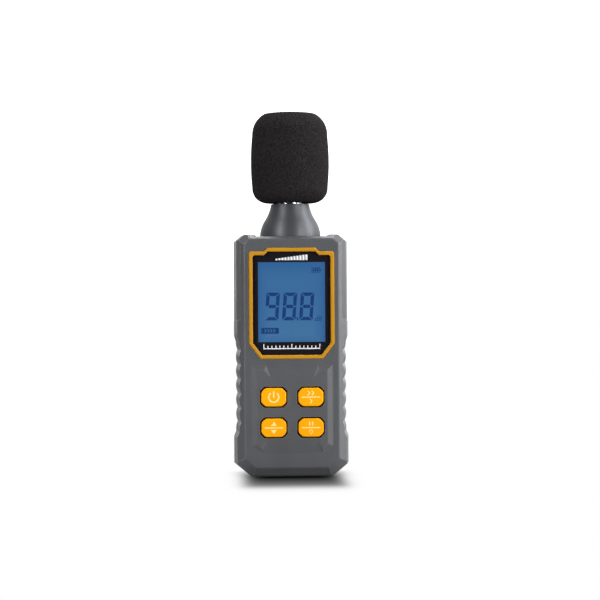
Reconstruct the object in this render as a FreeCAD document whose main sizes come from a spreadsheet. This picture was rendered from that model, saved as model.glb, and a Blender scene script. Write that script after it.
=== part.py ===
import FreeCAD, Part
import os
import re
import Sketcher
from FreeCAD import Placement, Rotation, Vector

# A hand-held sound level meter, in millimetres.
# Origin: centre of the flat base, on the plane where the two case halves part.
# +X is the meter's right seen from the front, -Y faces the reader, +Z is up.
# "Fore" sizes are distances in front of the parting plane (towards -Y), "aft" sizes behind it.

DIMENSIONS = {
    # case: outline half widths at the parting plane, and heights above the base
    "case_fore": 17.0,
    "side_draft": 2.1,
    "base_half": 20.95,
    "base_trim": 1.0,
    "bumper_half": 29.2,
    "bumper_low": 5.9,
    "bumper_high": 19.5,
    "crest_half": 28.1,
    "notch_half": 27.35,
    "grip_low": 22.3,
    "notch_low": 27.25,
    "lobe_pitch": 7.25,
    "lobe_radius": 9.1,
    "grip_high": 67.4,
    "upper_half": 29.0,
    "upper_low": 70.5,
    "shoulder_low": 118.2,
    "ear_outer_half": 25.2,
    "ear_inner_half": 20.4,
    "ear_foot_half": 19.4,
    "ear_top": 121.4,
    "case_top": 120.5,
    # flat face inside the 45 degree bevels
    "face_half": 23.7,
    "face_base_half": 18.3,
    "face_low": 4.6,
    "face_side_low": 9.25,
    "face_side_high": 116.6,
    "face_top_half": 21.0,
    "face_high": 119.1,
    "face_round": 1.4,
    "parting_bevel": 0.25,
    # second, steeper bevel along each side beside the display
    "flank_low": 78.6,
    "flank_inner_half": 25.3,
    "flank_inner_fore": 15.4,
    "flank_outer_half": 28.6,
    "flank_outer_fore": 9.4,
    # hollow inside each case half
    "hollow_fore": 14.6,
    "hollow_half": 26.8,
    "hollow_grip_half": 25.2,
    "hollow_base_half": 20.2,
    "hollow_low": 2.2,
    "hollow_side_low": 9.0,
    "hollow_top": 118.1,
    "hollow_floor_half": 23.4,
    "hollow_floor_grip_half": 23.1,
    "hollow_floor_base_half": 17.6,
    "hollow_floor_low": 4.9,
    "hollow_floor_side_low": 9.7,
    "overlap": 0.6,
    "gap": 0.05,
    # four case screws
    "case_boss_x": 20.6,
    "case_boss_low": 14.5,
    "case_boss_high": 112.5,
    "case_boss_radius": 2.6,
    "case_screw_radius": 1.25,
    "case_screw_hole_radius": 1.3,
    "case_screw_reach": 9.5,
    "case_screw_pass_radius": 1.45,
    "case_screw_head_radius": 2.2,
    "case_screw_head_thick": 2.0,
    "counterbore_radius": 2.45,
    "counterbore_aft": 8.0,
    "slot_wide": 0.7,
    "slot_deep": 0.9,
    # display frame, window and opening
    "bezel_half": 21.35,
    "bezel_low": 59.15,
    "bezel_low_half": 15.6,
    "bezel_side_low": 66.6,
    "bezel_high": 112.8,
    "bezel_corner": 0.8,
    "bezel_hump_high": 114.65,
    "bezel_hump_top_half": 12.0,
    "bezel_hump_foot_half": 13.8,
    "bezel_seat_fore": 15.6,
    "bezel_fore": 17.6,
    "bezel_band": 1.85,
    "bezel_low_inset": 0.75,
    "bezel_edge": 0.35,
    "lens_fore": 17.2,
    "opening_half": 17.6,
    "opening_low": 64.0,
    "opening_high": 108.6,
    # display stack
    "glass_half": 18.0,
    "glass_low": 61.5,
    "glass_step": 66.0,
    "glass_high": 109.0,
    "glass_fore": 14.5,
    "glass_sheet": 1.2,
    "light_half": 17.4,
    "light_low": 65.7,
    "light_high": 108.8,
    "light_fore": 12.0,
    "light_thick": 3.0,
    "zebra_half": 16.0,
    "zebra_low": 61.7,
    "zebra_tall": 1.4,
    "zebra_fore": 13.25,
    "frame_half": 19.2,
    "frame_low": 60.3,
    "frame_high": 110.0,
    "frame_wall": 1.1,
    "light_led_x": 9.0,
    "light_led_low": 63.7,
    "light_led_wide": 3.5,
    "light_led_tall": 1.4,
    "light_led_fore": 11.4,
    # circuit board, board screws and parts on the board
    "board_fore": 7.5,
    "board_thick": 1.6,
    "board_half": 21.9,
    "board_neck_half": 17.6,
    "board_low": 8.0,
    "board_side_low": 17.6,
    "board_side_high": 109.4,
    "board_high": 115.2,
    "board_screw_x": 19.6,
    "board_screw_low": 55.0,
    "board_screw_top_x": 14.0,
    "board_screw_high": 112.6,
    "board_boss_radius": 2.0,
    "board_screw_radius": 0.9,
    "board_screw_hole_radius": 0.95,
    "board_screw_head_radius": 1.7,
    "board_screw_head_thick": 1.2,
    "board_screw_reach": 12.0,
    "chip_half": 7.0,
    "chip_low": 72.0,
    "chip_thick": 1.5,
    "chip_corner": 0.8,
    "amplifier_x": 9.5,
    "amplifier_low": 93.0,
    "amplifier_wide": 4.0,
    "amplifier_tall": 5.0,
    "capacitor_radius": 2.5,
    "capacitor_tall": 5.0,
    "capacitor_z": 91.0,
    "capacitor_x": 16.5,
    "crystal_half": 3.4,
    "crystal_radius": 1.9,
    "crystal_thick": 3.2,
    "crystal_z": 67.6,
    "plug_half": 4.0,
    "plug_low": 99.5,
    "plug_tall": 5.5,
    "plug_thick": 4.0,
    # raised keypad panel on the face
    "panel_rise": 0.7,
    "panel_half": 20.35,
    "panel_top_half": 17.6,
    "panel_fade_low": 12.0,
    "panel_fade_half": 13.4,
    "panel_low": 12.4,
    "panel_low_half": 15.5,
    "panel_side_low": 15.6,
    "panel_high": 55.8,
    "panel_notch_half": 12.6,
    "panel_notch_side": 13.2,
    "panel_notch": 55.0,
    "panel_top_fade_low": 19.0,
    "panel_top_fade_half": 12.6,
    "panel_top_low": 14.2,
    "panel_top_low_half": 15.3,
    "panel_top_side_low": 16.5,
    "panel_top_high": 53.5,
    "panel_top_notch_half": 11.0,
    "panel_top_notch_side": 13.8,
    "panel_top_notch": 50.0,
    # push buttons and the switches under them
    "button_x": 9.3,
    "button_upper_z": 40.0,
    "button_lower_z": 24.75,
    "button_wide": 12.5,
    "button_tall": 9.2,
    "button_corner": 2.1,
    "button_corner_round": 2.5,
    "button_edge_round": 0.6,
    "button_clear": 0.6,
    "button_fore": 18.6,
    "flange_fore": 14.5,
    "flange_thick": 1.0,
    "flange_extra": 2.4,
    "stem_radius": 2.2,
    "plunger_fore": 11.9,
    "plunger_radius": 1.75,
    "plunger_root_fore": 9.2,
    "switch_half": 3.1,
    "switch_fore": 11.0,
    "switch_bore_radius": 1.8,
    "switch_bore_floor": 8.6,
    # battery compartment, in the rear half
    "bay_half": 18.4,
    "bay_low": 7.4,
    "bay_high": 67.8,
    "bay_fore_aft": 1.5,
    "cell_room_half": 16.2,
    "cell_room_low": 12.0,
    "cell_room_high": 62.0,
    "cell_room_aft": 3.0,
    "door_seat_aft": 13.9,
    "door_seat_low": 8.9,
    "door_seat_high": 66.4,
    "door_half": 15.9,
    "door_high": 66.0,
    "door_thick": 2.0,
    "hinge_z": 10.6,
    "hinge_aft": 15.6,
    "knuckle_radius": 1.4,
    "trunnion_radius": 1.0,
    "trunnion_half": 17.2,
    "socket_radius": 1.05,
    "socket_half": 17.5,
    "tongue_half": 4.0,
    "tongue_low": 63.6,
    "tongue_aft": 14.2,
    "grip_groove_half": 6.0,
    "grip_groove_z": 60.5,
    "grip_groove_tall": 0.9,
    "grip_groove_pitch": 2.0,
    "grip_groove_deep": 0.5,
    "rib_x": 5.4,
    "rib_half_wide": 0.5,
    "rib_low": 16.0,
    "rib_high": 56.0,
    "rib_aft": 14.3,
    # three AAA cells in series
    "cell_radius": 5.2,
    "cell_pitch": 10.8,
    "cell_aft": 8.4,
    "cell_long": 43.7,
    "cell_low": 16.95,
    "nub_radius": 1.9,
    "nub_long": 0.8,
    "cell_edge": 0.4,
    "spring_radius": 3.2,
    "wire_radius": 0.3,
    "spring_pitch": 0.95,
    "spring_rise": 3.8,
    "plate_thick": 0.3,
    "plate_wide": 8.6,
    "plate_deep": 8.8,
    "lead_radius": 0.5,
    "lead_hole_radius": 0.8,
    "lead_high_z": 61.2,
    "lead_low_z": 12.9,
    # tripod insert
    "insert_z": 92.0,
    "insert_radius": 4.4,
    "insert_bore_radius": 2.55,
    "insert_aft": 7.5,
    "insert_bore_aft": 9.0,
    "insert_boss_radius": 6.4,
    "insert_boss_aft": 5.5,
    "insert_groove_deep": 0.4,
    # microphone neck: heights above the base, radii about the vertical axis
    "spigot_radius": 10.0,
    "spigot_flange_radius": 12.0,
    "spigot_low": 116.0,
    "spigot_flange_high": 118.0,
    "neck_low": 120.55,
    "neck_low_radius": 15.5,
    "neck_rim_radius": 15.45,
    "neck_rim_high": 122.0,
    "neck_bend_radius": 12.95,
    "neck_bend_z": 129.1,
    "neck_belly": 16.5,
    "neck_waist": 21.5,
    "neck_top_radius": 9.75,
    "neck_high": 137.2,
    "neck_bore_radius": 5.2,
    "tube_seat": 128.0,
    "ring_seat": 134.8,
    "ring_radius": 8.6,
    # half-inch microphone
    "tube_radius": 6.35,
    "tube_wall": 0.5,
    "tube_bore_radius": 6.4,
    "tube_high": 156.0,
    "grid_high": 161.0,
    "grid_thick": 0.6,
    "grid_slot_wide": 0.7,
    "grid_slot_inner": 1.6,
    "grid_slot_outer": 5.0,
    "capsule_radius": 4.85,
    "capsule_low": 149.0,
    "capsule_high": 155.6,
    "holder_radius": 5.8,
    "holder_low": 148.0,
    "mic_lead_radius": 1.2,
    # foam windscreen
    "foam_low": 138.1,
    "foam_low_radius": 12.6,
    "foam_corner_z": 146.0,
    "foam_corner_side": 19.2,
    "foam_corner_radius": 7.5,
    "foam_bulge_z": 172.5,
    "foam_bulge_side": 19.05,
    "foam_bulge_radius": 122.0,
    "foam_shoulder_z": 183.1,
    "foam_shoulder_side": 13.2,
    "foam_shoulder_radius": 11.5,
    "foam_crown": 183.8,
    "foam_bore_high": 162.5,
}

FORE = "XZ_Plane"
UP = "XY_Plane"
RIGHT = "YZ_Plane"

doc = FreeCAD.newDocument("sound_level_meter")
dims = doc.addObject("Spreadsheet::Sheet", "dims")


def fill_sheet():
    for row, (alias, size) in enumerate(DIMENSIONS.items(), start=1):
        dims.set(f"A{row}", alias)
        dims.set(f"B{row}", str(size))
        dims.setAlias(f"B{row}", alias)
    doc.recompute()


# ---- binding sizes to the sheet ----


def bound(expression):
    """The expression with each size's name pointing at its cell."""
    return re.sub(r"[a-z][a-z_]*", lambda word: f"dims.{word.group()}", str(expression))


def size_of(expression):
    return float(dims.evalExpression(bound(expression)))


def bind(thing, prop, expression):
    thing.setExpression(prop, bound(expression))


def bind_place(thing, x="0", y="0", z="0"):
    for axis, expression in zip("xyz", (x, y, z)):
        bind(thing, f"Placement.Base.{axis}", expression)


# ---- sketches ----


def new_body(label):
    body = doc.addObject("PartDesign::Body", label)
    body.Label = label
    return body


def new_sketch(body, name, plane, offset="0"):
    """A sketch on one of the body's origin planes, moved along the plane's normal."""
    sketch = body.newObject("Sketcher::SketchObject", name)
    origin_plane = next(f for f in body.Origin.OriginFeatures if f.Role == plane)
    sketch.AttachmentSupport = [(origin_plane, "")]
    sketch.MapMode = "FlatFace"
    bind(sketch, ".AttachmentOffset.Base.z", offset)
    return sketch


def constrain(sketch, expression, kind, *where):
    index = sketch.addConstraint(Sketcher.Constraint(kind, *where, size_of(expression)))
    bind(sketch, f"Constraints[{index}]", expression)


def fix_point(sketch, edge, end, across, along):
    constrain(sketch, across, "DistanceX", -1, 1, edge, end)
    constrain(sketch, along, "DistanceY", -1, 1, edge, end)


def arc_between(start, end, radius, bulge):
    """An arc of less than half a turn. Bulge is 1 for outside an anticlockwise loop, else -1."""
    chord = end - start
    half = chord.Length / 2
    sagitta = radius - (radius**2 - half**2) ** 0.5
    outward = Vector(chord.y, -chord.x, 0).normalize()
    return Part.Arc(start, (start + end) / 2 + outward * sagitta * bulge, end)


def ends_of(corner):
    """Which end of the corner's edge comes first: an arc always runs anticlockwise in a sketch."""
    return (2, 1) if len(corner) == 4 and corner[3] < 0 else (1, 2)


def draw_loop(sketch, corners):
    """A closed outline. A corner is (across, along) or (across, along, radius, bulge) where
    the edge that follows it is an arc."""
    points = [Vector(size_of(c[0]), size_of(c[1]), 0) for c in corners]
    edges = []
    for index, corner in enumerate(corners):
        start, end = points[index], points[(index + 1) % len(points)]
        if len(corner) == 4:
            curve = arc_between(start, end, size_of(corner[2]), corner[3])
        else:
            curve = Part.LineSegment(start, end)
        edges.append(sketch.addGeometry(curve))
    for index, corner in enumerate(corners):
        first, last = ends_of(corner)
        following = (index + 1) % len(edges)
        next_first = ends_of(corners[following])[0]
        meet = Sketcher.Constraint("Coincident", edges[index], last, edges[following], next_first)
        sketch.addConstraint(meet)
        fix_point(sketch, edges[index], first, corner[0], corner[1])
        if len(corner) == 4:
            constrain(sketch, corner[2], "Radius", edges[index])


def loop(*corners):
    return lambda sketch: draw_loop(sketch, corners)


def rectangle(left, right, low, high):
    return loop((left, low), (right, low), (right, high), (left, high))


def disc(across, along, radius):
    def draw(sketch):
        centre = Vector(size_of(across), size_of(along), 0)
        edge = sketch.addGeometry(Part.Circle(centre, Vector(0, 0, 1), size_of(radius)))
        fix_point(sketch, edge, 3, across, along)
        constrain(sketch, radius, "Radius", edge)

    return draw


def mirrored(right_side):
    """The corners of an outline that is the same on both sides, from its right half alone,
    listed from the lowest corner to the highest."""
    left_side = []
    for index in range(len(right_side) - 1, -1, -1):
        across, along = right_side[index][:2]
        edge_below = right_side[index - 1][2:] if index else ()
        left_side.append((f"-({across})", along, *edge_below))
    return list(right_side) + left_side


# ---- features ----


def extruded(kind, body, name, plane, start, end, outlines, at_end):
    sketch = new_sketch(body, f"{name}_sketch", plane, end if at_end else start)
    for draw in outlines:
        draw(sketch)
    feature = body.newObject(kind, name)
    feature.Profile = sketch
    bind(feature, "Length", f"{end} - ({start})")
    return feature


def add_slab(body, name, plane, start, end, *outlines):
    """Material between two places along the plane's normal."""
    return extruded("PartDesign::Pad", body, name, plane, start, end, outlines, False)


def cut_slab(body, name, plane, start, end, *outlines):
    """A pocket between two places along the plane's normal; it must remove something."""
    doc.recompute()
    before = body.Shape.Volume
    feature = extruded("PartDesign::Pocket", body, name, plane, start, end, outlines, True)
    doc.recompute()
    if body.Shape.Volume > before - 1e-6:
        raise RuntimeError(f"{body.Label}: {name} cuts nothing")
    return feature


def turned(body, name, *outlines):
    """A solid turned about the vertical axis from its right-hand profile."""
    sketch = new_sketch(body, f"{name}_sketch", FORE)
    for draw in outlines:
        draw(sketch)
    feature = body.newObject("PartDesign::Revolution", name)
    feature.Profile = sketch
    feature.ReferenceAxis = (sketch, ["V_Axis"])
    feature.Angle = 360
    return feature


def lofted(kind, body, name, plane, sections):
    """A ruled solid through outlines at different places along the plane's normal."""
    sketches = []
    for index, (place, draw) in enumerate(sections):
        sketch = new_sketch(body, f"{name}_section_{index}", plane, place)
        draw(sketch)
        sketches.append(sketch)
    feature = body.newObject(kind, name)
    feature.Profile = sketches[0]
    feature.Sections = sketches[1:]
    feature.Ruled = True
    return feature


def swept(body, name, start, radius, path):
    """A round wire or cable along a path that starts upright at a point on the path sketch."""
    profile = new_sketch(body, f"{name}_profile", UP, start[1])
    disc("0", start[0], radius)(profile)
    spine = new_sketch(body, f"{name}_path", RIGHT)
    count = path(spine)
    feature = body.newObject("PartDesign::AdditivePipe", name)
    feature.Profile = profile
    feature.Spine = (spine, [f"Edge{index + 1}" for index in range(count)])
    return feature


def edges_of_faces(shape, wanted):
    """Names of the faces whose centre passes the test, for a fillet or chamfer."""
    return [f"Face{i + 1}" for i, face in enumerate(shape.Faces) if wanted(face.CenterOfMass)]


def soften(kind, body, name, size, picked):
    """Rounds or bevels the picked faces or edges of the body's last feature."""
    feature = body.newObject(kind, name)
    feature.Base = (body.Tip if body.Tip is not feature else feature.BaseFeature, picked)
    bind(feature, "Radius" if kind.endswith("Fillet") else "Size", size)
    return feature


def front_face(body):
    doc.recompute()
    front = body.Shape.BoundBox.YMin
    return edges_of_faces(body.Shape, lambda centre: centre.y < front + 1e-3)


def back_face(body):
    doc.recompute()
    back = body.Shape.BoundBox.YMax
    return edges_of_faces(body.Shape, lambda centre: centre.y > back - 1e-3)


def box(label, left, right, front, back, low, high):
    """A plain block, from its faces' places."""
    block = doc.addObject("Part::Box", label)
    bind(block, "Length", f"{right} - ({left})")
    bind(block, "Width", f"{back} - ({front})")
    bind(block, "Height", f"{high} - ({low})")
    bind_place(block, left, front, low)
    return block


def group(label, blanks_and_places):
    """Separate identical pieces in one node: each is a link to its blank, moved and turned."""
    links = []
    for index, (blank, place, rotation) in enumerate(blanks_and_places):
        link = doc.addObject("App::Link", f"{label}_{index + 1}")
        link.LinkedObject = blank
        link.Placement = Placement(Vector(), rotation)
        bind_place(link, *place)
        links.append(link)
    gathered = doc.addObject("Part::Compound", label)
    gathered.Links = links
    return gathered


UPRIGHT = Rotation()
UPSIDE_DOWN = Rotation(Vector(1, 0, 0), 180)


# ---- case halves ----


def outer_outline(draft):
    """The case outline with its scalloped grips; draft is how far the sides lean in."""
    arc = ("lobe_radius", 1)
    right_side = [
        (f"base_half - {draft}", "-base_trim"),
        (f"bumper_half - {draft}", "bumper_low"),
        (f"bumper_half - {draft}", "bumper_high"),
        (f"crest_half - {draft}", "grip_low", *arc),
    ]
    notches = range(6)
    for number in notches:
        right_side.append((f"notch_half - {draft}", f"notch_low + {number} * lobe_pitch", *arc))
    right_side += [
        (f"crest_half - {draft}", "grip_high"),
        (f"upper_half - {draft}", "upper_low"),
        (f"upper_half - {draft}", "shoulder_low"),
        (f"ear_outer_half - {draft}", "ear_top"),
        (f"ear_inner_half - {draft}", "ear_top"),
        (f"ear_foot_half - {draft}", "case_top"),
    ]
    return loop(*mirrored(right_side))


def face_outline():
    right_side = [
        ("face_base_half", "face_low"),
        ("face_half", "face_side_low"),
        ("face_half", "face_side_high"),
        ("face_top_half", "face_high"),
    ]
    return loop(*mirrored(right_side))


def hollow_outline(at_floor):
    """Inside of the wall, at the parting plane or at the floor of the hollow."""
    floor = "hollow_floor" if at_floor else "hollow"
    side = "hollow_floor_half" if at_floor else "hollow_half"
    right_side = [
        (f"{floor}_base_half", f"{floor}_low"),
        (side, f"{floor}_side_low"),
        (side, "bumper_high - 0.5"),
        (f"{floor}_grip_half", "grip_low + 0.2"),
        (f"{floor}_grip_half", "grip_high"),
        (side, "upper_low + 0.5"),
        (side, "hollow_top - 2.9" if at_floor else "hollow_top - 1.5"),
        (f"{side} - 3.1" if at_floor else f"{side} - 2", "hollow_top"),
    ]
    return loop(*mirrored(right_side))


def bevelled_block(label, direction):
    """The block with 45 degree bevels round its face that trims a case half."""
    block = new_body(label)
    sketch = new_sketch(block, f"{label}_face", FORE, f"{direction} * case_fore")
    face_outline()(sketch)
    slab = block.newObject("PartDesign::Pad", f"{label}_slab")
    slab.Profile = sketch
    slab.Reversed = direction > 0
    slab.TaperAngle = 45
    bind(slab, "Length", "case_fore")
    outer_face = front_face(block) if direction > 0 else back_face(block)
    soften("PartDesign::Fillet", block, f"{label}_round", "face_round", outer_face)
    return block


def flanks(direction):
    """Both sides' wedges, seen from above, that the steeper bevel takes off."""
    near, far = f"-{direction} * flank_inner_fore", f"-{direction} * flank_outer_fore"
    wedges = []
    for side in ("", "-"):
        inner, outer = f"{side}flank_inner_half", f"{side}flank_outer_half"
        wedges.append(loop((inner, near), (f"{outer} * 1.1", near), (f"{outer} * 1.1", far), (outer, far)))
    return wedges


def case_half(label, direction):
    """Drafted outline, trimmed by the bevels and hollowed. Direction is 1 fore, -1 aft."""
    body = new_body(label)
    outside = [("0", outer_outline("0")), (f"{direction} * case_fore", outer_outline("side_draft"))]
    lofted("PartDesign::AdditiveLoft", body, "outside", FORE, outside)
    trim = body.newObject("PartDesign::Boolean", "bevels")
    trim.setObjects([bevelled_block(f"{label}_bevels", direction)])
    trim.Type = "Common"
    under = rectangle("-bumper_half", "bumper_half", "-case_fore", "case_fore")
    cut_slab(body, "flat_base", UP, "-base_trim - 1", "0", under)
    cut_slab(body, "flanks", UP, "flank_low", "ear_top + 1", *flanks(direction))
    parting = back_face(body) if direction > 0 else front_face(body)
    soften("PartDesign::Chamfer", body, "parting_edge", "parting_bevel", parting)
    inside = [("0", hollow_outline(False)), (f"{direction} * hollow_fore", hollow_outline(True))]
    lofted("PartDesign::SubtractiveLoft", body, "inside", FORE, inside)
    return body


def at_case_bosses(radius):
    places = [(x, z) for x in ("case_boss_x", "-case_boss_x") for z in ("case_boss_low", "case_boss_high")]
    return [disc(x, z, radius) for x, z in places]


BOARD_SCREWS = [
    ("board_screw_x", "board_screw_low"),
    ("-board_screw_x", "board_screw_low"),
    ("board_screw_top_x", "board_screw_high"),
    ("-board_screw_top_x", "board_screw_high"),
]

BUTTONS = {
    "power": ("-button_x", "button_upper_z"),
    "speed": ("button_x", "button_upper_z"),
    "peak": ("-button_x", "button_lower_z"),
    "hold": ("button_x", "button_lower_z"),
}


def button_outline(x, z, extra):
    """An oblong with its corners cut, grown all round by extra."""
    wide = f"(button_wide / 2 + {extra})"
    tall = f"(button_tall / 2 + {extra})"
    corner = "button_corner"
    return loop(
        (f"{x} - {wide} + {corner}", f"{z} - {tall}"),
        (f"{x} + {wide} - {corner}", f"{z} - {tall}"),
        (f"{x} + {wide}", f"{z} - {tall} + {corner}"),
        (f"{x} + {wide}", f"{z} + {tall} - {corner}"),
        (f"{x} + {wide} - {corner}", f"{z} + {tall}"),
        (f"{x} - {wide} + {corner}", f"{z} + {tall}"),
        (f"{x} - {wide}", f"{z} + {tall} - {corner}"),
        (f"{x} - {wide}", f"{z} - {tall} + {corner}"),
    )


def panel_outline(top):
    """The keypad panel's outline at its foot or its top: its lower edge and notch end in ramps."""
    part = "panel_top" if top else "panel"
    right_side = [
        (f"{part}_fade_half", f"{part}_fade_low"),
        (f"{part}_low_half", f"{part}_low"),
        (f"{part}_half", f"{part}_side_low"),
        (f"{part}_half", f"{part}_high"),
        (f"{part}_notch_side", f"{part}_high"),
        (f"{part}_notch_half", f"{part}_notch"),
    ]
    return loop(*mirrored(right_side))


def bezel_outline(inset):
    """The display frame's outline, a hump at its top and cut corners, moved in by inset."""
    low_inset = f"{inset} * bezel_low_inset / bezel_band"
    right_side = [
        (f"bezel_low_half - {low_inset}", f"bezel_low + {inset}"),
        (f"bezel_half - {inset}", f"bezel_side_low + {inset} * 0.25"),
        (f"bezel_half - {inset}", f"bezel_high - bezel_corner - {inset}"),
        (f"bezel_half - bezel_corner - {inset}", f"bezel_high - {inset}"),
        ("bezel_hump_foot_half", f"bezel_high - {inset}"),
        ("bezel_hump_top_half", f"bezel_hump_high - {inset}"),
    ]
    return loop(*mirrored(right_side))


def neck_hole(body):
    cut_slab(body, "neck_hole", UP, "spigot_low", "ear_top", disc("0", "0", "spigot_radius + 0.1"))


def front_shell():
    body = case_half("front_shell", 1)
    panel = [("case_fore", panel_outline(False)), ("case_fore + panel_rise", panel_outline(True))]
    lofted("PartDesign::AdditiveLoft", body, "keypad_panel", FORE, panel)
    wall = "hollow_fore + overlap"
    add_slab(body, "case_bosses", FORE, "gap", wall, *at_case_bosses("case_boss_radius"))
    board_bosses = [disc(x, z, "board_boss_radius") for x, z in BOARD_SCREWS]
    add_slab(body, "board_bosses", FORE, "board_fore + gap", wall, *board_bosses)
    cut_slab(
        body, "case_screw_holes", FORE, "0", "case_screw_reach + 1", *at_case_bosses("case_screw_hole_radius")
    )
    board_holes = [disc(x, z, "board_screw_hole_radius") for x, z in BOARD_SCREWS]
    cut_slab(body, "board_screw_holes", FORE, "board_fore", "board_screw_reach + 1", *board_holes)
    cut_slab(body, "bezel_seat", FORE, "bezel_seat_fore", "case_fore + 1", bezel_outline("-gap"))
    opening = rectangle("-opening_half", "opening_half", "opening_low", "opening_high")
    cut_slab(body, "display_opening", FORE, "hollow_fore - 1", "case_fore", opening)
    holes = [button_outline(x, z, "button_clear") for x, z in BUTTONS.values()]
    cut_slab(body, "button_holes", FORE, "hollow_fore - 1", "case_fore + 2", *holes)
    neck_hole(body)
    return body


def rear_shell():
    body = case_half("rear_shell", -1)
    wall = "-hollow_fore - overlap"
    bay = rectangle("-bay_half", "bay_half", "bay_low", "bay_high")
    add_slab(body, "battery_bay", FORE, wall, "-bay_fore_aft", bay)
    add_slab(body, "case_bosses", FORE, wall, "-gap", *at_case_bosses("case_boss_radius + 0.6"))
    add_slab(body, "insert_boss", FORE, wall, "-insert_boss_aft", disc("0", "insert_z", "insert_boss_radius"))
    seat = rectangle("-cell_room_half", "cell_room_half", "door_seat_low", "door_seat_high")
    cut_slab(body, "door_seat", FORE, "-case_fore - 1", "-door_seat_aft", seat)
    room = rectangle("-cell_room_half", "cell_room_half", "cell_room_low", "cell_room_high")
    cut_slab(body, "cell_room", FORE, "-case_fore", "-cell_room_aft", room)
    socket = disc("hinge_aft", "hinge_z", "socket_radius")
    cut_slab(body, "hinge_sockets", RIGHT, "-socket_half", "socket_half", socket)
    cut_slab(body, "screw_holes", FORE, "-case_fore", "0", *at_case_bosses("case_screw_pass_radius"))
    counterbores = at_case_bosses("counterbore_radius")
    cut_slab(body, "counterbores", FORE, "-case_fore - 1", "-counterbore_aft", *counterbores)
    insert = disc("0", "insert_z", "insert_radius + gap")
    cut_slab(body, "insert_seat", FORE, "-case_fore - 1", "-insert_aft + gap", insert)
    cut_slab(
        body,
        "lead_holes",
        FORE,
        "-cell_room_aft",
        "-bay_fore_aft",
        disc("cell_pitch", "lead_high_z", "lead_hole_radius"),
        disc("-cell_pitch", "lead_low_z", "lead_hole_radius"),
    )
    neck_hole(body)
    return body


def battery_door():
    body = new_body("battery_door")
    plate = rectangle("-door_half", "door_half", "hinge_z", "door_high")
    add_slab(body, "plate", FORE, "-case_fore", "-case_fore + door_thick", plate)
    knuckle = disc("hinge_aft", "hinge_z", "knuckle_radius")
    add_slab(body, "knuckle", RIGHT, "-door_half", "door_half", knuckle)
    trunnion = disc("hinge_aft", "hinge_z", "trunnion_radius")
    add_slab(body, "trunnions", RIGHT, "-trunnion_half", "trunnion_half", trunnion)
    inner = "-case_fore + door_thick - 0.5"
    tongue = rectangle("-tongue_half", "tongue_half", "tongue_low", "door_high")
    add_slab(body, "tongue", FORE, inner, "-tongue_aft", tongue)
    ribs = [
        rectangle(f"{x} - rib_half_wide", f"{x} + rib_half_wide", "rib_low", "rib_high")
        for x in ("rib_x", "-rib_x")
    ]
    add_slab(body, "ribs", FORE, inner, "-rib_aft", *ribs)
    grooves = []
    for number in range(3):
        low = f"grip_groove_z - {number} * grip_groove_pitch"
        grooves.append(rectangle("-grip_groove_half", "grip_groove_half", low, f"{low} + grip_groove_tall"))
    cut_slab(body, "thumb_grip", FORE, "-case_fore - 1", "-case_fore + grip_groove_deep", *grooves)
    return body


# ---- display ----


def display_bezel():
    body = new_body("display_bezel")
    outlines = (bezel_outline("0"), bezel_outline("bezel_band"))
    add_slab(body, "ring", FORE, "bezel_seat_fore + gap", "bezel_fore", *outlines)
    soften("PartDesign::Chamfer", body, "edges", "bezel_edge", front_face(body))
    return body


def window_lens():
    body = new_body("window_lens")
    outline = bezel_outline("(bezel_band + gap)")
    add_slab(body, "pane", FORE, "bezel_seat_fore + gap", "lens_fore", outline)
    return body


def lcd_glass():
    """Two glass sheets; the front one is longer and carries the contacts."""
    body = new_body("lcd_glass")
    front = rectangle("-glass_half", "glass_half", "glass_low", "glass_high")
    add_slab(body, "front_sheet", FORE, "glass_fore - glass_sheet", "glass_fore", front)
    rear = rectangle("-glass_half", "glass_half", "glass_step", "glass_high")
    add_slab(body, "rear_sheet", FORE, "glass_fore - 2 * glass_sheet", "glass_fore - glass_sheet", rear)
    return body


def lcd_frame():
    body = new_body("lcd_frame")
    outer = rectangle("-frame_half", "frame_half", "frame_low", "frame_high")
    inner = rectangle(
        "-frame_half + frame_wall",
        "frame_half - frame_wall",
        "frame_low + frame_wall",
        "frame_high - frame_wall + 0.2",
    )
    add_slab(body, "wall", FORE, "board_fore + gap", "glass_fore", outer, inner)
    return body


def backlight_panel():
    body = new_body("backlight_panel")
    outline = rectangle("-light_half", "light_half", "light_low", "light_high")
    add_slab(body, "light_guide", FORE, "light_fore - light_thick", "light_fore", outline)
    return body


def zebra_strip():
    high = "zebra_low + zebra_tall"
    aft = "-board_fore - gap"
    return box("zebra_strip", "-zebra_half", "zebra_half", "-zebra_fore", aft, "zebra_low", high)


def backlight_leds():
    blank = box(
        "backlight_led_blank",
        "-light_led_wide / 2",
        "light_led_wide / 2",
        "-light_led_fore",
        "-board_fore - gap",
        "light_led_low",
        "light_led_low + light_led_tall",
    )
    sides = ("light_led_x", "-light_led_x - light_led_wide")
    places = [(x, "-light_led_fore", "light_led_low") for x in sides]
    return group("backlight_leds", [(blank, place, UPRIGHT) for place in places])


# ---- circuit board ----


def main_board():
    body = new_body("main_board")
    right_side = [
        ("board_neck_half", "board_low"),
        ("board_neck_half", "board_side_low"),
        ("board_half", "board_side_low"),
        ("board_half", "board_side_high"),
        ("board_neck_half", "board_side_high"),
        ("board_neck_half", "board_high"),
    ]
    holes = [disc(x, z, "board_screw_radius + 0.2") for x, z in BOARD_SCREWS]
    outline = loop(*mirrored(right_side))
    add_slab(body, "laminate", FORE, "board_fore - board_thick", "board_fore", outline, *holes)
    return body


BOARD_BACK = "board_fore - board_thick - gap"


def microcontroller():
    body = new_body("microcontroller")
    outline = rectangle("-chip_half", "chip_half", "chip_low", "chip_low + 2 * chip_half")
    add_slab(body, "package", FORE, f"{BOARD_BACK} - chip_thick", BOARD_BACK, outline)
    soften("PartDesign::Chamfer", body, "moulded_edges", "chip_corner / 3", back_face(body))
    return body


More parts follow.
